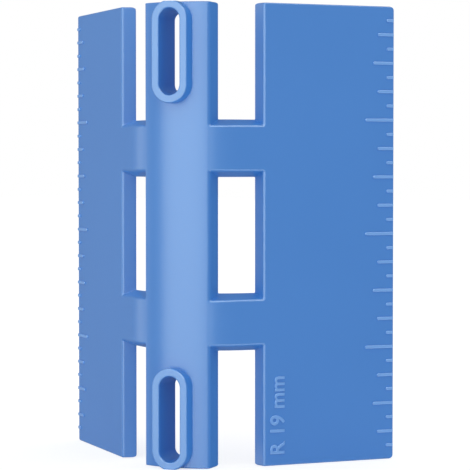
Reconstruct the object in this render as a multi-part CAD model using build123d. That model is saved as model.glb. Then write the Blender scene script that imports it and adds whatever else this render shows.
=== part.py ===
from build123d import *
from math import sqrt
import os

# Angle marking gauge for a rounded outside wall corner, moulded in plastic.
# A tall corner shell: a spine over the rounded corner and a flat ruled wing on each wall. Beside the
# spine the shell is open, with a notch, a window and a notch a side, and two bridges a side between
# them carry the wing. A raised collar stands round each of the spine's two pencil slots.
# Z runs up the wall corner, -Y points out of the corner and +X towards the right wing.
# The origin is at the bottom, in the middle of the gauge's box. Lengths are in mm, angles in degrees.

# The corner shell
height = 101.6  # four inches of rule
wall_radius = 19.05  # the rounded wall corner that the gauge fits, three quarters of an inch
outside_radius = 18.2  # the rounding outside, over the wall corner
wing_thickness = 3.2
spine_width = 15.5
wall_end_round = 1.1  # along the bottom and the top of the spine and the wings, on the wall side

# The openings beside the spine
wing_start = 1.27  # on the wall, from the end of the corner's rounding to the wing
wing_lean = 0.88  # the wing's inner edge leans, and the opening is this much wider outside
notch_height = 25.4  # on the wall side
window_height = 25.4  # on the wall side
bridge_bevel = 1.35  # each bridge is this much taller on the wall side, above and below

# The wings
wing_width = 31.75  # on the outside, from the wing's inner edge to its free edge
free_corner_radius = 1.2
free_edge_round = 0.45

# The pencil slots and their collars
slot_width = 4.9
slot_length = 18.8
slot_inset = 1.5  # from the end of the gauge to the slot
slot_draft = 5.0  # the slot narrows towards the wall
collar_wall = 1.75
collar_rise = 2.6  # above the middle of the spine
collar_break = 0.3

# The raised rule marks
mark_pitch = 3.175  # an eighth of an inch
mark_width = 0.7
mark_rise = 0.27
inch_mark = 7.24
half_inch_mark = 5.3
quarter_inch_mark = 4.2
eighth_inch_mark = 2.0

overrun = 0.3  # how far an opening's cutting shape runs past each face, as a share of the wall
margin = 2.0  # how far the other cutting shapes run past what they cut
tiny = 0.001  # how near two places count as the same

# Worked out from the sizes above
turn = sqrt(0.5)  # the sine and the cosine of the 45 degrees that each wing turns from the middle
round_gap = sqrt(2) - 1  # from a right-angled corner to a round of radius 1 drawn inside it
spine_side = spine_width / 2
wall_tangent = wing_thickness + wall_radius
inner_edge_back = wall_tangent + wing_start
inner_edge_front = inner_edge_back + wing_lean
free_edge = inner_edge_front + wing_width
outside_middle = outside_radius * round_gap
wall_middle = wing_thickness * sqrt(2) + wall_radius * round_gap
wall_depth_at_bend = wall_tangent - sqrt(wall_radius**2 - (wall_tangent - outside_radius) ** 2)
collar_face = outside_middle - collar_rise
window_low = (height - window_height) / 2
slot_middles = [slot_inset + slot_length / 2, height - slot_inset - slot_length / 2]

# The line in which the two outer faces would meet stands at this Y, with the gauge's box centred
box_back = (free_edge + wing_thickness) * turn - free_edge_round * round_gap
corner_y = -(collar_face + box_back) / 2
outside_centre_y = corner_y + outside_radius * sqrt(2)
wall_centre_y = corner_y + wall_tangent * sqrt(2)


def wing_point(along, depth, z=0.0):
    # A point of the right wing: along its outer face from the corner line, and in from that face
    return Vector((along - depth) * turn, corner_y + (along + depth) * turn, z)


def middle_point(depth, z=0.0):
    return Vector(0, corner_y + depth, z)


def mirrored(point):
    return Vector(-point.X, point.Y, point.Z)


def outside_y(x):
    return outside_centre_y - sqrt(outside_radius**2 - x**2)


def wall_y(x):
    return wall_centre_y - sqrt(wall_radius**2 - x**2)


def prism(points, low, high):
    outline = Polyline(*[(point.X, point.Y, low) for point in points], close=True)
    return extrude(make_face(outline), high - low)


def plain_shell():
    # The plan is two straight wings, joined by one round over the corner and one on the wall side
    outside_bend = wing_point(outside_radius, 0)
    wall_bend = wing_point(wall_tangent, wing_thickness)
    wing = FilletPolyline(
        outside_bend,
        wing_point(free_edge, 0),
        wing_point(free_edge, wing_thickness),
        wall_bend,
        radius=free_edge_round,
    )
    outside_round = ThreePointArc(mirrored(outside_bend), middle_point(outside_middle), outside_bend)
    wall_round = ThreePointArc(mirrored(wall_bend), middle_point(wall_middle), wall_bend)
    plan = [*wing.edges(), *mirror(wing, Plane.YZ).edges(), outside_round, wall_round]
    return extrude(make_face(plan), height)


def spine_zone(low, high):
    # Everything between the two sides of the spine, the collars too
    front_y = corner_y + collar_face - margin
    back_y = wall_y(spine_side) + margin
    outline = [
        Vector(-spine_side, front_y),
        Vector(spine_side, front_y),
        Vector(spine_side, back_y),
        Vector(-spine_side, back_y),
    ]
    return prism(outline, low, high)


def inner_edge_line():
    # Two plan points on the wing's leaning inner edge, beyond its front and beyond its back
    front = wing_point(inner_edge_front, 0)
    back = wing_point(inner_edge_back, wing_thickness)
    beyond = (front - back).normalized() * margin
    return front + beyond, back - beyond


def bridge_zone(low, high):
    # Between the right side of the spine and the wing's inner edge
    front, back = inner_edge_line()
    outline = [
        Vector(spine_side, outside_y(0) - margin),
        Vector(front.X, outside_y(0) - margin),
        front,
        back,
        Vector(spine_side, back.Y),
    ]
    return prism(outline, low, high)


def opening_section(front, back, levels, bevels):
    # Upright, from a plan point on the outside to one on the wall side, and on past both
    beyond = (front - back) * overrun
    front = front + beyond
    back = back - beyond
    low, high = levels
    low_bevel, high_bevel = bevels
    corners = [
        (front.X, front.Y, low - low_bevel * (1 + overrun)),
        (front.X, front.Y, high + high_bevel * (1 + overrun)),
        (back.X, back.Y, high - high_bevel * overrun),
        (back.X, back.Y, low + low_bevel * overrun),
    ]
    return make_face(Polyline(*corners, close=True))


def opening(levels, bevels):
    # An opening of the right side. It turns with the corner as far as the bend, then runs straight
    beside_spine = (Vector(spine_side, outside_y(spine_side)), Vector(spine_side, wall_y(spine_side)))
    at_bend = (wing_point(outside_radius, 0), wing_point(outside_radius, wall_depth_at_bend))
    first, second = [opening_section(*span, levels, bevels) for span in (beside_spine, at_bend)]
    straight = extrude(second, free_edge - outside_radius, dir=(turn, turn, 0))
    cut = loft([first, second], ruled=True) + straight
    return cut & bridge_zone(-margin, height + margin)


def open_shell():
    window = opening((window_low, height - window_low), (bridge_bevel, bridge_bevel))
    lower_notch = opening((-margin, notch_height), (0, bridge_bevel))
    upper_notch = opening((height - notch_height, height + margin), (bridge_bevel, 0))
    shell = plain_shell()
    for cut in (window, lower_notch, upper_notch):
        shell = shell - cut - mirror(cut, Plane.YZ)
    return shell


def wing_zone():
    # The right wing and all the space outside its inner edge
    front, back = inner_edge_line()
    beyond_front = wing_point(free_edge + margin, -margin)
    beyond_back = wing_point(free_edge + margin, wing_thickness + margin)
    return prism([front, beyond_front, beyond_back, back], -margin, height + margin)


def wing_plane(depth):
    # X runs along the right wing from its free edge outwards, Y runs up and Z points out of its face
    return Plane(origin=wing_point(free_edge, depth), x_dir=(turn, turn, 0), z_dir=(turn, -turn, 0))


def wing_outline():
    # All that the right wing may fill, seen from in front of its outer face
    outline = Rectangle(free_edge, height, align=(Align.MAX, Align.MIN))
    outline = fillet(outline.vertices().group_by(Axis.X)[-1], free_corner_radius)
    return extrude(wing_plane(wing_thickness) * outline, wing_thickness)


def wing_section():
    # All that it may fill, seen from its end. X runs in from its outer face and Y runs up
    across = Plane(origin=wing_point(0, 0), x_dir=(-turn, turn, 0), z_dir=(turn, turn, 0))
    section = Rectangle(wing_thickness, height, align=(Align.MIN, Align.MIN))
    section = fillet(section.vertices().group_by(Axis.X)[-1], wall_end_round)
    return extrude(across * section, free_edge)


def right_wing(shell):
    return (shell & wing_zone() & wing_outline() & wing_section()).solid()


def right_bridge(shell, low, high):
    return (shell & bridge_zone(low, high)).solid()


def slot_plane(middle):
    # In the collar's face: X runs across the gauge and Z in towards the wall
    return Plane(origin=middle_point(collar_face, middle), x_dir=(1, 0, 0), z_dir=(0, 1, 0))


def slot_cut(middle):
    # One straight taper, through the collar and on through the spine
    outline = SlotOverall(slot_length, slot_width, rotation=90)
    depth = wall_middle - collar_face + margin
    return extrude(slot_plane(middle) * outline, depth, taper=slot_draft)


def spine(solid_spine):
    wall_ends = solid_spine.edges().filter_by(GeomType.CIRCLE).group_by(Axis.Y)[-1]
    body = fillet(wall_ends, wall_end_round)
    for middle in slot_middles:
        body = body - slot_cut(middle)
    return body.solid()


def is_collar_rim(edge):
    box = edge.bounding_box()
    return box.size.Y < tiny and abs(box.min.Y - corner_y - collar_face) < tiny


def collar(solid_spine, middle):
    # Flat on its face, cut to the round of the spine below it and level with the end of the gauge
    half_width = slot_width / 2 + collar_wall
    outline = SlotOverall(slot_length + 2 * collar_wall, 2 * half_width, rotation=90)
    depth = outside_y(half_width) - corner_y - collar_face + margin
    ring = (extrude(slot_plane(middle) * outline, depth) - slot_cut(middle)).solid()
    ring = chamfer(ring.edges().filter_by(is_collar_rim), collar_break)
    return ((ring & spine_zone(0, height)) - solid_spine).solid()


def mark_length(eighths):
    if eighths % 8 == 0:
        return inch_mark
    if eighths % 4 == 0:
        return half_inch_mark
    if eighths % 2 == 0:
        return quarter_inch_mark
    return eighth_inch_mark


def rule_mark(eighths):
    # A rib with a round inner end. Its foot goes down to fill the free edge's rounding
    inner_end = mark_width / 2 - mark_length(eighths)
    outline = Rectangle(margin - inner_end, mark_width, align=(Align.MIN, Align.CENTER))
    outline = Pos(inner_end, 0) * (outline + Circle(mark_width / 2))
    outline = wing_plane(free_edge_round) * Pos(0, eighths * mark_pitch) * outline
    return extrude(outline, mark_rise + free_edge_round)


def right_marks(wing):
    past_free_edge = [
        wing_point(free_edge, -margin),
        wing_point(free_edge + 2 * margin, -margin),
        wing_point(free_edge + 2 * margin, wing_thickness),
        wing_point(free_edge, wing_thickness),
    ]
    past_free_edge = prism(past_free_edge, 0, height)
    marks = []
    for eighths in range(1, round(height / mark_pitch)):
        marks.append((rule_mark(eighths) - past_free_edge - wing).solid())
    return marks


def write(name, *solids):
    shape = solids[0] if len(solids) == 1 else Compound(children=list(solids))
    shape.label = name
    export_step(shape, f"parts/{name}.step")


def main():
    os.makedirs("parts", exist_ok=True)
    shell = open_shell()
    solid_spine = (shell & spine_zone(0, height)).solid()
    wing = right_wing(shell)
    marks = right_marks(wing)
    lower_bridge = right_bridge(shell, 0, height / 2)
    upper_bridge = right_bridge(shell, height / 2, height)
    write("spine", spine(solid_spine))
    write("lower_slot_collar", collar(solid_spine, slot_middles[0]))
    write("upper_slot_collar", collar(solid_spine, slot_middles[1]))
    write("right_wing", wing)
    write("right_scale_ribs", *marks)
    write("lower_right_bridge", lower_bridge)
    write("upper_right_bridge", upper_bridge)
    write("left_wing", mirror(wing, Plane.YZ))
    write("left_scale_ribs", *[mirror(mark, Plane.YZ) for mark in marks])
    write("lower_left_bridge", mirror(lower_bridge, Plane.YZ))
    write("upper_left_bridge", mirror(upper_bridge, Plane.YZ))


main()
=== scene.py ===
import math

import bmesh
import bpy
from mathutils import Matrix, Vector


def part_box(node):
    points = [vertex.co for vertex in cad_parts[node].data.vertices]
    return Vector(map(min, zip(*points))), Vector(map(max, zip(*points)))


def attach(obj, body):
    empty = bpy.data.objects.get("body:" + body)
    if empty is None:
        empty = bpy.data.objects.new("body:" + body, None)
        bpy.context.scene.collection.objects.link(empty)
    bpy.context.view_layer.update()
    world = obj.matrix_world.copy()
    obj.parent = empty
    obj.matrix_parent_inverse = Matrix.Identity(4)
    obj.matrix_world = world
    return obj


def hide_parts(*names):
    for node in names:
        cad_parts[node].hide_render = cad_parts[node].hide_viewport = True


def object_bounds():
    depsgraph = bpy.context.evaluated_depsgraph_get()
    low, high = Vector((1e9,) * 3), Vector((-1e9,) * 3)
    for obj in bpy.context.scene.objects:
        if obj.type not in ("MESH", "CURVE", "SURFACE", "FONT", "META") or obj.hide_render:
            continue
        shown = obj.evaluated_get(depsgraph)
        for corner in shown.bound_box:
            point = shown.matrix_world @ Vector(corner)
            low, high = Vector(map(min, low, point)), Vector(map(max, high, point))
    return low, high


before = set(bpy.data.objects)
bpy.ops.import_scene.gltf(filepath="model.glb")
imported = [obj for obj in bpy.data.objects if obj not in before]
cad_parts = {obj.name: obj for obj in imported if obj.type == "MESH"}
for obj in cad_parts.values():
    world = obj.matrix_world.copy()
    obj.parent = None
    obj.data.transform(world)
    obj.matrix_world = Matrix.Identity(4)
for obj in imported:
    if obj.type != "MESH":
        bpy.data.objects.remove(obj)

# Angle marking gauge for a rounded outside wall corner, one moulding in satin blue ABS.
# The shell is modelled whole, so that its shading runs on without a break, and is then parted
# where the CAD parts it. Z runs up the wall corner, -Y points out of the corner and +X towards
# the right wing. Lengths are in mm until a finished mesh is brought to metres.

MM = 0.001
cad_low, cad_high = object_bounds()

# The corner shell
height = cad_high.z / MM
wall_radius = 19.05
outside_radius = 18.2
wing_thickness = 3.2
spine_width = 15.5
wing_start = 1.27  # from the bend to the wing's inner edge, on the wall side
wing_lean = 0.88  # how much farther out that edge lies on the outside
notch_height = 25.4  # on the wall side
window_height = 25.4  # on the wall side
bridge_bevel = 1.35  # how much shorter a bridge is on the outside, above and below
wing_width = 31.75  # from its inner edge to its free edge, on the outside

# Its roundings
spine_steps = 17  # from the middle of the spine to its side
bend_steps = 13  # from there to where the wing runs straight
free_corner_radius = 1.2  # the largest, so every rounding is written as a share of it
end_corner_radius = 0.3
opening_corner_radius = 0.15
outside_round = 0.55
outside_end_round = 0.3
wall_round = 0.2
wall_end_round = 1.1
free_edge_round = 0.45
round_segments = 5

# The pencil slots and their collars
slot_width = 4.9
slot_length = 18.8
slot_inset = 1.5
slot_draft = math.radians(5)
collar_wall = 1.75
collar_rise = 2.6
collar_lip = 0.28
collar_foot = 1.2
slot_flare = 0.35
slot_segments = 64

# The raised rule marks
mark_pitch = 3.175
mark_width = 0.7
mark_rise = 0.27
mark_round = 0.16
mark_end_inset = 0.15
mark_end_round = 0.35
mark_segments = 4
inch_mark = 7.24
half_inch_mark = 5.3
quarter_inch_mark = 4.2
eighth_inch_mark = 2.0

# The raised size mark
mark_text_size = 4.75
mark_text_rise = 0.25
mark_text_round = 0.14
mark_text_stroke = -0.04  # below 0, it thins the strokes
mark_text_spacing = 1.0
mark_text_along = 29.2  # on the wing's face, from the corner line
mark_text_low = 2.3
mark_text_segments = 3

# The plastic's finish
blue_low = "#387ECD"
blue_high = "#3E83D2"
# Painted highlight: a lighter blue on the raised marks and the collars' faces, where light catches them
painted_highlight_blue = "#6AA1E4"
mark_painted_highlight = 1.0  # how far the rule marks and size mark are painted towards the lighter highlight blue
# how far the collars' faces are painted lighter, a painted highlight for the reflection on them
collar_painted_highlight = 0.35
flow_size = 30.0
flow_detail = 2.0
grain_size = 0.6
grain_detail = 3.0
grain_strength = 0.12
grain_depth = 0.02
gloss_low = 0.28
gloss_high = 0.34
plastic_ior = 1.54

# The photograph's viewpoint, in metres
camera_turn = math.radians(22.594)
camera_distance = 0.4331
camera_side = 0.0162
camera_height = 0.06665
camera_pitch = math.radians(2.042)
focal_pixels = 2023.2
frame_pixels = 470
film_width = 36  # in mm
nearest_seen = 0.01
farthest_seen = 20

# The floor and the light, in metres and degrees. Azimuth 0 is in front of the gauge, 90 on its right
floor_reach = 3.0
paper_white = "#F4F4F4"
paper_seen = "#A4A4A4"  # with the glow it comes to white, and to less than that in a shadow
stage_glow = 0.72
room_light = 0.93
room_azimuth = -12  # where reflections see the room brightest
room_front = 0.64
room_back = 0.04
room_front_from = 0.2  # as the cosine of the angle from the brightest direction
room_back_from = -1.05
window_light = "#FFFCDE"
window_distance = 0.9
windows = [  # name, azimuth, elevation, width, height, power in watts
    ("front_window", -8, 6, 1.2, 0.7, 12.0),
    ("high_window", -8, 45, 1.4, 0.5, 13.0),
    ("right_window", 67, 50, 0.9, 0.5, 8.0),
    ("left_window", -82, 8, 0.35, 0.9, 1.8),
    ("table_glow", 50, -45, 1.2, 0.5, 6.0),
]

tiny = 0.001  # how near two places count as the same
margin = 2.0  # how far a cutter goes past what it cuts
corner_angle = math.radians(30)
sharp_angle = math.radians(35)
square_angle = math.radians(80)

# Worked out from the sizes above
turn = math.sqrt(0.5)
spine_side = spine_width / 2
outside_middle = outside_radius * (math.sqrt(2) - 1)
collar_face = outside_middle - collar_rise
wall_tangent = wing_thickness + wall_radius
wall_middle = wing_thickness * math.sqrt(2) + wall_radius * (math.sqrt(2) - 1)
inner_edge_back = wall_tangent + wing_start
inner_edge_front = inner_edge_back + wing_lean
free_edge = inner_edge_front + wing_width
corner_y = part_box("upper_slot_collar")[0].y / MM - collar_face
window_low = (height - window_height) / 2
slot_middles = [slot_inset + slot_length / 2, height - slot_inset - slot_length / 2]

# Which skin of the shell a face belongs to, kept as its material index while the shell is made
SIDE, OUTSIDE, WALL = 0, 1, 2


def wing_point(along, depth, z=0.0):
    # A point of the right wing: along its outer face from the corner line, and in from that face
    return Vector(((along - depth) * turn, corner_y + (along + depth) * turn, z))


def along_wing(place):
    # How far out along its wing a place is, on either side
    return (abs(place.x) + place.y - corner_y) * turn


def skin(shell, radius, depth, inner_edge, rows, index):
    # Half a skin: round from the middle of the spine, straight on to the free edge, then up row by row
    centre_y = corner_y + (radius + depth) * math.sqrt(2)
    side_turn = math.asin(spine_side / radius)
    before = set(shell.edges)
    end = bmesh.ops.create_vert(shell, co=(0, centre_y - radius, rows[0]))["vert"]
    for angle, steps in ((side_turn, spine_steps), (math.pi / 4 - side_turn, bend_steps)):
        swept = bmesh.ops.spin(
            shell, geom=end, cent=(0, centre_y, 0), axis=(0, 0, 1), angle=angle, steps=steps
        )
        end = [part for part in swept["geom_last"] if isinstance(part, bmesh.types.BMVert)]
    for along in (inner_edge, free_edge):
        end = bmesh.ops.extrude_vert_indiv(shell, verts=end)["verts"]
        end[0].co = wing_point(along, depth, rows[0])
    line = [edge for edge in shell.edges if edge not in before]
    for low, high in zip(rows, rows[1:]):
        raised = bmesh.ops.extrude_edge_only(shell, edges=line)["geom"]
        corners = [part for part in raised if isinstance(part, bmesh.types.BMVert)]
        bmesh.ops.translate(shell, verts=corners, vec=(0, 0, high - low))
        line = [
            part
            for part in raised
            if isinstance(part, bmesh.types.BMEdge) and set(part.verts) <= set(corners)
        ]
        for face in shell.faces:
            if face.material_index == SIDE:
                face.material_index = index


def in_opening(face, inner_edge, rows):
    place = face.calc_center_median()
    beside_spine = place.x > spine_side and along_wing(place) < inner_edge
    row = sum(place.z > low for low in rows) - 1
    return beside_spine and row % 2 == 0


def rim(shell, index, in_window):
    # The open edges of one skin: those round the window, or the others but for the middle line
    edges = []
    for edge in shell.edges:
        places = [corner.co for corner in edge.verts]
        on_skin = edge.is_boundary and edge.link_faces[0].material_index == index
        on_middle = all(abs(place.x) < tiny for place in places)
        round_window = all(
            spine_side - tiny < place.x
            and along_wing(place) < inner_edge_front + tiny
            and window_low - bridge_bevel - tiny < place.z < height - window_low + bridge_bevel + tiny
            for place in places
        )
        if on_skin and not on_middle and round_window == in_window:
            edges.append(edge)
    return edges


def bevel(work, edges, radius, segments):
    bmesh.ops.bevel(
        work,
        geom=edges,
        offset=radius,
        offset_type="OFFSET",
        affect="EDGES",
        segments=segments,
        profile=0.5,
        material=-1,
        clamp_overlap=False,
    )


def between(shell, first, second):
    wanted = {first, second}
    return [edge for edge in shell.edges if {face.material_index for face in edge.link_faces} == wanted]


def across_wall(shell, turns_out):
    # Edges across the wall's thickness where its sides turn a corner, out or in
    edges = []
    for edge in shell.edges:
        angle = edge.calc_face_angle_signed()
        between_sides = all(face.material_index == SIDE for face in edge.link_faces)
        if between_sides and abs(angle) > corner_angle and (angle > 0) == turns_out:
            edges.append(edge)
    return edges


def rim_radius(edge, usual, at_end):
    places = [corner.co for corner in edge.verts]
    if all(min(place.z, height - place.z) < tiny for place in places):
        return at_end
    if all(along_wing(place) > inner_edge_front + wing_width / 2 for place in places):
        return free_edge_round
    return usual


def set_roundings(shell):
    # How round each edge becomes. The bevel that rounds them all reads it
    share = shell.edges.layers.float.new("bevel_weight_edge")
    for edge in across_wall(shell, True):
        on_free_edge = along_wing(edge.verts[0].co) > inner_edge_front + wing_width / 2
        radius = free_corner_radius if on_free_edge else end_corner_radius
        edge[share] = radius / free_corner_radius
    for edge in between(shell, OUTSIDE, SIDE):
        edge[share] = rim_radius(edge, outside_round, outside_end_round) / free_corner_radius
    for edge in between(shell, WALL, SIDE):
        edge[share] = rim_radius(edge, wall_round, wall_end_round) / free_corner_radius


def guide_lines(shell):
    # Lines of the skins that only helped to lay out the openings, and would break up their roundings
    lines = []
    for edge in shell.edges:
        on_skin = all(face.material_index != SIDE for face in edge.link_faces)
        start, end = (corner.co for corner in edge.verts)
        level = abs(start.z - end.z) < tiny
        beside_spine = abs(abs(start.x) - spine_side) < tiny
        along = along_wing(start)
        on_inner_edge = min(abs(along - inner_edge_front), abs(along - inner_edge_back)) < tiny
        if on_skin and (level or beside_spine or on_inner_edge):
            lines.append(edge)
    return lines


def shell_work():
    shell = bmesh.new()
    front_rows = [
        0,
        notch_height + bridge_bevel,
        window_low - bridge_bevel,
        height - window_low + bridge_bevel,
        height - notch_height - bridge_bevel,
        height,
    ]
    wall_rows = [0, notch_height, window_low, height - window_low, height - notch_height, height]
    skins = [
        (outside_radius, 0, inner_edge_front, front_rows, OUTSIDE),
        (wall_radius, wing_thickness, inner_edge_back, wall_rows, WALL),
    ]
    for radius, depth, inner_edge, rows, index in skins:
        skin(shell, radius, depth, inner_edge, rows, index)
        cut = [
            face
            for face in shell.faces
            if face.material_index == index and in_opening(face, inner_edge, rows)
        ]
        bmesh.ops.delete(shell, geom=cut, context="FACES")
    for in_window in (True, False):
        edges = rim(shell, OUTSIDE, in_window) + rim(shell, WALL, in_window)
        sides = bmesh.ops.bridge_loops(shell, edges=edges)["faces"]
        for face in sides:
            face.material_index = SIDE
    bmesh.ops.mirror(
        shell, geom=shell.verts[:] + shell.edges[:] + shell.faces[:], merge_dist=tiny, axis="X"
    )
    bmesh.ops.remove_doubles(shell, verts=shell.verts, dist=tiny)
    bmesh.ops.recalc_face_normals(shell, faces=shell.faces)
    bmesh.ops.dissolve_edges(shell, edges=guide_lines(shell), use_verts=True)
    bevel(shell, across_wall(shell, False), opening_corner_radius, round_segments)
    set_roundings(shell)
    return shell


def as_object(name, work):
    mesh = bpy.data.meshes.new(name)
    work.to_mesh(mesh)
    work.free()
    piece = bpy.data.objects.new(name, mesh)
    bpy.context.scene.collection.objects.link(piece)
    return piece


def finish_mesh(piece):
    # Works the modifiers into the mesh
    graph = bpy.context.evaluated_depsgraph_get()
    mesh = bpy.data.meshes.new_from_object(piece.evaluated_get(graph))
    piece.modifiers.clear()
    piece.data = mesh


def cut_away(piece, cutter):
    cut = piece.modifiers.new("cut", "BOOLEAN")
    cut.operation = "DIFFERENCE"
    cut.solver = "EXACT"
    cut.object = cutter


def slot_walls(middle, stations):
    # Walls of an upright slot with round ends: a circle whose two halves are drawn apart, then taken
    # from station to station, a depth and a half width each
    work = bmesh.new()
    step = 2 * math.pi / slot_segments
    (depth, half_width), *others = stations
    matrix = (
        Matrix.Translation((0, corner_y + depth, middle))
        @ Matrix.Rotation(math.pi / 2, 4, "X")
        @ Matrix.Rotation(step / 2, 4, "Z")
    )
    straight = (slot_length - slot_width) / 2
    circle = bmesh.ops.create_circle(work, radius=half_width, segments=slot_segments, matrix=matrix)
    ring = circle["verts"]
    edges = work.edges[:]
    for side in (-1, 1):
        half = [corner for corner in ring if (corner.co.z > middle) == (side > 0)]
        bmesh.ops.translate(work, verts=half, vec=(0, 0, side * straight))
    loops = [edges]
    for next_depth, next_half_width in others:
        made = bmesh.ops.extrude_edge_only(work, edges=edges)["geom"]
        ring = [part for part in made if isinstance(part, bmesh.types.BMVert)]
        edges = [
            part
            for part in made
            if isinstance(part, bmesh.types.BMEdge) and set(part.verts) <= set(ring)
        ]
        growth = next_half_width / half_width
        for side in (-1, 1):
            half = [corner for corner in ring if (corner.co.z > middle) == (side > 0)]
            centre = Matrix.Translation((0, 0, -middle - side * straight))
            bmesh.ops.scale(work, verts=half, vec=(growth, 1, growth), space=centre)
        bmesh.ops.translate(work, verts=ring, vec=(0, next_depth - depth, 0))
        depth, half_width = next_depth, next_half_width
        loops.append(edges)
    return work, loops


def face_outwards(work):
    bmesh.ops.recalc_face_normals(work, faces=work.faces)
    if work.calc_volume(signed=True) < 0:
        bmesh.ops.reverse_faces(work, faces=work.faces)


def slot_half_width(depth):
    return slot_width / 2 - (depth - collar_face) * math.tan(slot_draft)


def slot_cutter(middle):
    # The straight taper, with a flare where it comes out on the wall side
    centre_y = wall_tangent * math.sqrt(2)
    out_depth = centre_y - math.sqrt(wall_radius**2 - slot_half_width(wall_middle) ** 2)
    flare_start = out_depth - slot_flare
    stations = [(depth, slot_half_width(depth)) for depth in (collar_face, flare_start)]
    for step in range(1, round_segments + 1):
        angle = step / round_segments * math.pi / 2
        depth = flare_start + slot_flare * math.sin(angle)
        half_width = slot_half_width(flare_start) + slot_flare * (1 - math.cos(angle))
        stations.append((depth, half_width))
    stations.append((out_depth + margin, stations[-1][1]))
    work, loops = slot_walls(middle, stations)
    bmesh.ops.holes_fill(work, edges=loops[0] + loops[-1])
    face_outwards(work)
    return as_object("slot_cutter", work)


def collar_ring(middle):
    # Outer wall, face and tapered inner wall, with rounded lips, cut level with the gauge's ends.
    # Its foot goes into the spine
    foot = outside_middle + collar_foot
    outer = slot_width / 2 + collar_wall
    stations = [
        (foot, outer),
        (collar_face, outer),
        (collar_face, slot_half_width(collar_face)),
        (foot, slot_half_width(foot)),
        (foot, outer),
    ]
    work, loops = slot_walls(middle, stations)
    bmesh.ops.remove_doubles(work, verts=work.verts, dist=tiny)
    face_outwards(work)
    bevel(work, loops[1] + loops[2], collar_lip, round_segments)
    for end, outwards in ((0, -1), (height, 1)):
        cut_flat(work, (0, 0, end), (0, 0, outwards))
    return work


def cut_flat(work, place, outwards):
    # Cuts everything off past a plane and closes the cut
    whole = work.verts[:] + work.edges[:] + work.faces[:]
    cut = bmesh.ops.bisect_plane(
        work, geom=whole, dist=tiny / 10, plane_co=place, plane_no=outwards, clear_outer=True
    )["geom_cut"]
    edges = [part for part in cut if isinstance(part, bmesh.types.BMEdge)]
    caps = bmesh.ops.holes_fill(work, edges=edges)["faces"] if edges else []
    for cap in caps:
        cap.normal_update()
        if cap.normal.dot(Vector(outwards)) < 0:
            cap.normal_flip()
    return caps


def keep_shading(piece):
    # Smooth shading that leaves flat faces flat, kept on the mesh so that its parts can take it over
    piece.data.polygons.foreach_set("use_smooth", [True] * len(piece.data.polygons))
    piece.data.set_sharp_from_angle(angle=sharp_angle)
    weighted = piece.modifiers.new("shading", "WEIGHTED_NORMAL")
    weighted.keep_sharp = True
    finish_mesh(piece)
    normals = [0.0] * (3 * len(piece.data.loops))
    piece.data.corner_normals.foreach_get("vector", normals)
    kept = piece.data.attributes.new("kept_normal", "FLOAT_VECTOR", "CORNER")
    kept.data.foreach_set("vector", normals)


def take_shading(piece):
    kept = piece.data.attributes["kept_normal"]
    normals = [0.0] * (3 * len(piece.data.loops))
    kept.data.foreach_get("vector", normals)
    piece.data.attributes.remove(kept)
    piece.data.normals_split_custom_set([normals[i : i + 3] for i in range(0, len(normals), 3)])


def shell_part(name, shell, planes):
    # What is left of the shell inside some planes. The faces that close the cuts keep their own normals
    work = bmesh.new()
    work.from_mesh(shell.data)
    kept = work.loops.layers.float_vector["kept_normal"]
    for place, outwards in planes:
        for face in cut_flat(work, place, outwards):
            for corner in face.loops:
                corner[kept] = (0, 0, 0)
    loose = [corner for corner in work.verts if not corner.link_faces]
    bmesh.ops.delete(work, geom=loose, context="VERTS")
    for face in work.faces:
        face.material_index = 0
    piece = as_object(name, work)
    take_shading(piece)
    return piece


def mark_length(eighths):
    if eighths % 8 == 0:
        return inch_mark
    if eighths % 4 == 0:
        return half_inch_mark
    if eighths % 2 == 0:
        return quarter_inch_mark
    return eighth_inch_mark


face_out = Vector((turn, -turn, 0))  # out of the right wing's outer face


def wing_matrix(along, depth, z):
    # X runs out along the right wing, Y runs up and Z points out of its face
    axes = Matrix(((turn, 0, turn), (turn, 0, -turn), (0, 1, 0))).to_4x4()
    return Matrix.Translation(wing_point(along, depth, z)) @ axes


def rise_above_face(place):
    # How far a place stands out of the right wing's outer face
    return (place - wing_point(0, 0)).dot(face_out)


def scale_ribs():
    # One rib for every eighth of an inch: a round inner end, an outer end that drops off, soft edges.
    # Its foot goes as deep as the rounding of the free edge, which it runs out over
    work = bmesh.new()
    rib_height = mark_rise + free_edge_round
    middle_depth = (free_edge_round - mark_rise) / 2
    outer_end = free_edge - mark_end_inset
    for eighths in range(1, round(height / mark_pitch)):
        length = mark_length(eighths) - mark_end_inset
        place = wing_matrix(outer_end - length / 2, middle_depth, eighths * mark_pitch)
        size = Matrix.Diagonal((length, mark_width, rib_height, 1))
        bmesh.ops.create_cube(work, size=1, matrix=place @ size)
    inner_ends = []
    outer_ends = []
    for edge in work.edges:
        start, end = (corner.co for corner in edge.verts)
        at_outer_end = along_wing((start + end) / 2) > outer_end - rib_height
        across_rib = abs(start.z - end.z) > mark_width - tiny
        through_rib = abs((start - end).dot(face_out)) > rib_height - tiny
        if through_rib and not at_outer_end:
            inner_ends.append(edge)
        elif across_rib and at_outer_end and rise_above_face(start) > 0:
            outer_ends.append(edge)
    bevel(work, inner_ends, mark_width / 2 - tiny, round_segments)
    bevel(work, outer_ends, mark_end_round, round_segments)
    rims = []
    for edge in work.edges:
        highest = max(rise_above_face(corner.co) for corner in edge.verts)
        if edge.calc_face_angle() > square_angle and highest > -mark_round:
            rims.append(edge)
    bevel(work, rims, mark_round, mark_segments)
    return work


# The shell with its edges rounded, the collars fitted to its face, and the slots cut through it
shell = as_object("shell", shell_work())
rounding = shell.modifiers.new("rounding", "BEVEL")
rounding.limit_method = "WEIGHT"
rounding.offset_type = "OFFSET"
rounding.width = free_corner_radius
rounding.segments = round_segments
rounding.use_clamp_overlap = False
finish_mesh(shell)

collars = {}
for name, middle in zip(("lower_slot_collar", "upper_slot_collar"), slot_middles):
    collar = as_object(name + "_moulded", collar_ring(middle))
    cut_away(collar, shell)
    finish_mesh(collar)
    collars[name] = collar

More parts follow.
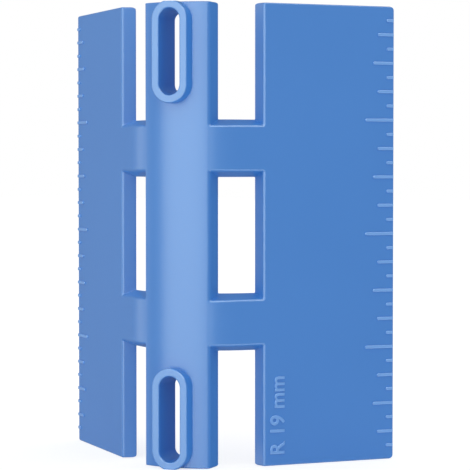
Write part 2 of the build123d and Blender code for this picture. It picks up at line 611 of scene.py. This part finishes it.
cutters = [slot_cutter(middle) for middle in slot_middles]
for cutter in cutters:
    cut_away(shell, cutter)
finish_mesh(shell)
for cutter in cutters:
    bpy.data.objects.remove(cutter)
keep_shading(shell)


def flipped(vector):
    # The same on the left side
    return Vector((-vector.x, vector.y, vector.z))


# The parts of the shell by their planes, each given as a place and the way outwards
inner_edge = wing_point(inner_edge_front, 0) - wing_point(inner_edge_back, wing_thickness)
to_wing = Vector((-inner_edge.y, inner_edge.x, 0)).normalized()
wing_cut = wing_point(inner_edge_front, 0) - to_wing * tiny
spine_cut = Vector((spine_side + tiny, 0, 0))
middle_cut = Vector((0, 0, height / 2))
UP, RIGHT = Vector((0, 0, 1)), Vector((1, 0, 0))
parts = {"spine": [(spine_cut, RIGHT), (flipped(spine_cut), -RIGHT)]}
for side, turned in (("right", Vector), ("left", flipped)):
    wing_side = (turned(wing_cut), turned(to_wing))
    parts[side + "_wing"] = [(wing_side[0], -wing_side[1])]
    for level, outwards in (("lower", UP), ("upper", -UP)):
        planes = [(turned(spine_cut), -turned(RIGHT)), wing_side, (middle_cut, outwards)]
        parts[f"{level}_{side}_bridge"] = planes
pieces = {name: shell_part(name + "_moulded", shell, planes) for name, planes in parts.items()}
bpy.data.objects.remove(shell)


def on_left_side(work):
    for corner in work.verts:
        corner.co = flipped(corner.co)
    bmesh.ops.reverse_faces(work, faces=work.faces)
    return work


pieces["right_scale_ribs"] = as_object("right_scale_ribs_moulded", scale_ribs())
pieces["left_scale_ribs"] = as_object("left_scale_ribs_moulded", on_left_side(scale_ribs()))
pieces.update(collars)
for name in ("right_scale_ribs", "left_scale_ribs", *collars):
    keep_shading(pieces[name])
    take_shading(pieces[name])


def size_mark():
    # The radius of the wall corner in raised letters that read up the right wing
    words = bpy.data.curves.new("size_mark", "FONT")
    words.body = f"R {wall_radius:.0f} mm"
    words.size = mark_text_size
    words.extrude = mark_text_rise - mark_text_round
    words.bevel_depth = mark_text_round
    words.bevel_resolution = mark_text_segments
    words.offset = mark_text_stroke
    words.space_character = mark_text_spacing
    letters = bpy.data.objects.new("size_mark", words)
    bpy.context.scene.collection.objects.link(letters)
    mesh = bpy.data.meshes.new_from_object(letters)
    bpy.data.objects.remove(letters)
    upright = Matrix.Rotation(math.pi / 2, 4, "Z")
    mesh.transform(wing_matrix(mark_text_along, 0, mark_text_low) @ upright)
    piece = bpy.data.objects.new("size_mark", mesh)
    bpy.context.scene.collection.objects.link(piece)
    return piece


mark = size_mark()


# Finish


def linear(code):
    # An sRGB hex colour, as the shaders take it
    values = [int(code[i : i + 2], 16) / 255 for i in (1, 3, 5)]
    return (*[v / 12.92 if v <= 0.04045 else ((v + 0.055) / 1.055) ** 2.4 for v in values], 1)


def add(tree, kind, links=(), **settings):
    # Adds a node: its settings by name, its constants by socket name and its links as (socket, source)
    node = tree.nodes.new(kind)
    for name, value in settings.items():
        if hasattr(node, name):
            setattr(node, name, value)
        else:
            node.inputs[name.replace("_", " ")].default_value = value
    for socket, source in links:
        tree.links.new(source, node.inputs[socket])
    return node


def satin_abs():
    # Injection-moulded ABS with a satin skin: an even mid blue with a soft broad sheen, a very fine
    # grain from the mould, slow faint changes of tone where the plastic flowed, and a painted
    # highlight:
    # a lighter blue on raised places where light catches them. The real grain is finer. It is drawn as
    # coarse as it needs to show
    material = bpy.data.materials.new("satin_moulded_abs")
    material.use_nodes = True
    tree = material.node_tree
    tree.nodes.clear()
    place = add(tree, "ShaderNodeTexCoord").outputs["Object"]
    flow = add(
        tree,
        "ShaderNodeTexNoise",
        [("Vector", place)],
        Scale=1 / (flow_size * MM),
        Detail=flow_detail,
    )
    colour = add(tree, "ShaderNodeMix", [("Factor", flow.outputs["Fac"])], data_type="RGBA")
    colour.inputs["A"].default_value = linear(blue_low)
    colour.inputs["B"].default_value = linear(blue_high)
    # How far a place is painted lighter as a highlight
    painted_highlight = add(tree, "ShaderNodeAttribute", attribute_name="painted_highlight").outputs["Fac"]
    highlighted_colour = add(
        tree,
        "ShaderNodeMix",
        [("Factor", painted_highlight), ("A", colour.outputs["Result"])],
        data_type="RGBA",
    )
    highlighted_colour.inputs["B"].default_value = linear(painted_highlight_blue)
    grain = add(
        tree,
        "ShaderNodeTexNoise",
        [("Vector", place)],
        Scale=1 / (grain_size * MM),
        Detail=grain_detail,
    )
    skin_bump = add(
        tree,
        "ShaderNodeBump",
        [("Height", grain.outputs["Fac"])],
        Strength=grain_strength,
        Distance=grain_depth * MM,
    )
    gloss = add(
        tree,
        "ShaderNodeMapRange",
        [("Value", grain.outputs["Fac"])],
        To_Min=gloss_low,
        To_Max=gloss_high,
    )
    shader = add(
        tree,
        "ShaderNodeBsdfPrincipled",
        [
            ("Base Color", highlighted_colour.outputs["Result"]),
            ("Roughness", gloss.outputs["Result"]),
            ("Normal", skin_bump.outputs["Normal"]),
        ],
        IOR=plastic_ior,
    )
    add(tree, "ShaderNodeOutputMaterial", [("Surface", shader.outputs["BSDF"])])
    return material


def paint_highlight(piece, highlight_at):
    # Keeps on the mesh how far each place of a raised piece is painted lighter as a highlight, from 0
    # to 1
    layer = piece.data.attributes.new("painted_highlight", "FLOAT", "POINT")
    layer.data.foreach_set("value", [highlight_at(corner.co) for corner in piece.data.vertices])


# The painted highlight is even all over the rule marks and the size mark
def mark_highlight_at(place):
    return mark_painted_highlight


def collar_highlight_at(place):
    # A painted highlight for the window's reflection, even over the collar's face, and fading out over
    # its rounded lips
    behind_face = place.y - corner_y - collar_face
    return collar_painted_highlight * max(0.0, 1 - behind_face / collar_lip)


# Painted highlight on the rule marks, the size mark and the collars' faces
for piece in (pieces["right_scale_ribs"], pieces["left_scale_ribs"], mark):
    paint_highlight(piece, mark_highlight_at)
for collar in collars.values():
    paint_highlight(collar, collar_highlight_at)
plastic = satin_abs()
for piece in (*pieces.values(), mark):
    piece.data.transform(Matrix.Scale(MM, 4))
    piece.data.materials.clear()
    piece.data.materials.append(plastic)
for name, piece in pieces.items():
    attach(piece, "root")
    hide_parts(name)
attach(mark, "root")


# Camera, floor and light

corner = Vector((0, corner_y * MM, 0))
out = Vector((math.sin(camera_turn), -math.cos(camera_turn), 0))
sideways = Vector((math.cos(camera_turn), math.sin(camera_turn), 0))
lens = bpy.data.cameras.new("camera")
lens.sensor_width = film_width
lens.lens = film_width * focal_pixels / frame_pixels
lens.clip_start, lens.clip_end = nearest_seen, farthest_seen
camera = bpy.data.objects.new("camera", lens)
camera.location = corner + out * camera_distance + sideways * camera_side
camera.location.z += camera_height
camera.rotation_euler = (math.pi / 2 - camera_pitch, 0, camera_turn)
bpy.context.scene.collection.objects.link(camera)
bpy.context.scene.camera = camera


def white_stage():
    # White to the camera, but for the object's own shadow. Other rays see plain white paper
    material = bpy.data.materials.new("white_paper")
    material.use_nodes = True
    tree = material.node_tree
    tree.nodes.clear()
    path = add(tree, "ShaderNodeLightPath").outputs
    seen = add(
        tree,
        "ShaderNodeMath",
        [(0, path["Is Camera Ray"]), (1, path["Is Glossy Ray"])],
        operation="MAXIMUM",
    )
    seen = add(
        tree,
        "ShaderNodeMath",
        [(0, seen.outputs["Value"]), (1, path["Is Transmission Ray"])],
        operation="MAXIMUM",
    )
    paper = add(tree, "ShaderNodeBsdfDiffuse", Color=linear(paper_white))
    shaded = add(tree, "ShaderNodeBsdfDiffuse", Color=linear(paper_seen))
    glow = add(tree, "ShaderNodeEmission", Color=(1, 1, 1, 1), Strength=stage_glow)
    backdrop = add(
        tree,
        "ShaderNodeAddShader",
        [(0, shaded.outputs["BSDF"]), (1, glow.outputs["Emission"])],
    )
    mixed = add(
        tree,
        "ShaderNodeMixShader",
        [(0, seen.outputs["Value"]), (1, paper.outputs["BSDF"]), (2, backdrop.outputs["Shader"])],
    )
    add(tree, "ShaderNodeOutputMaterial", [("Surface", mixed.outputs["Shader"])])
    return material


def floor_sheet():
    # Reflections and lamps go through it, so the object also mirrors what lies below
    work = bmesh.new()
    bmesh.ops.create_grid(work, x_segments=1, y_segments=1, size=floor_reach)
    floor = as_object("floor", work)
    floor.data.materials.append(white_stage())
    floor.visible_glossy = False
    floor.visible_shadow = False


def pale_room():
    # White to the camera and an even light on the object. Its reflections see a room that is pale in
    # front and dark behind, as in the photograph
    world = bpy.data.worlds.new("pale_room")
    world.use_nodes = True
    tree = world.node_tree
    tree.nodes.clear()
    path = add(tree, "ShaderNodeLightPath").outputs
    direction = add(tree, "ShaderNodeTexCoord").outputs["Generated"]
    ahead = add(tree, "ShaderNodeVectorMath", [(0, direction)], operation="DOT_PRODUCT")
    azimuth = math.radians(room_azimuth)
    ahead.inputs[1].default_value = (math.sin(azimuth), -math.cos(azimuth), 0)
    mirrored = add(
        tree,
        "ShaderNodeMapRange",
        [("Value", ahead.outputs["Value"])],
        From_Min=room_back_from,
        From_Max=room_front_from,
        To_Min=room_back,
        To_Max=room_front,
    )
    lit = add(
        tree,
        "ShaderNodeMix",
        [("Factor", path["Is Glossy Ray"]), ("B", mirrored.outputs["Result"])],
        A=room_light,
    )
    seen = add(
        tree,
        "ShaderNodeMath",
        [(0, path["Is Camera Ray"]), (1, path["Is Transmission Ray"])],
        operation="MAXIMUM",
    )
    strength = add(
        tree,
        "ShaderNodeMix",
        [("Factor", seen.outputs["Value"]), ("A", lit.outputs["Result"])],
        B=1.0,
    )
    room = add(
        tree,
        "ShaderNodeBackground",
        [("Strength", strength.outputs["Result"])],
        Color=(1, 1, 1, 1),
    )
    add(tree, "ShaderNodeOutputWorld", [("Surface", room.outputs["Background"])])
    bpy.context.scene.world = world


def window(name, azimuth, elevation, width, tall, power):
    # A bright pane that faces the middle of the object and shows only as its reflection
    middle = Vector((0, 0, height * MM / 2))
    turned, raised = math.radians(azimuth), math.radians(elevation)
    level = math.cos(raised)
    away = Vector((math.sin(turned) * level, -math.cos(turned) * level, math.sin(raised)))
    light = bpy.data.lights.new(name, "AREA")
    light.shape = "RECTANGLE"
    light.size, light.size_y = width, tall
    light.energy = power
    light.color = linear(window_light)[:3]
    lamp = bpy.data.objects.new(name, light)
    lamp.location = middle + away * window_distance
    lamp.rotation_euler = (-away).to_track_quat("-Z", "Y").to_euler()
    lamp.visible_diffuse = False
    bpy.context.scene.collection.objects.link(lamp)


floor_sheet()
pale_room()
for pane in windows:
    window(*pane)

bpy.context.scene.view_settings.view_transform = "Standard"
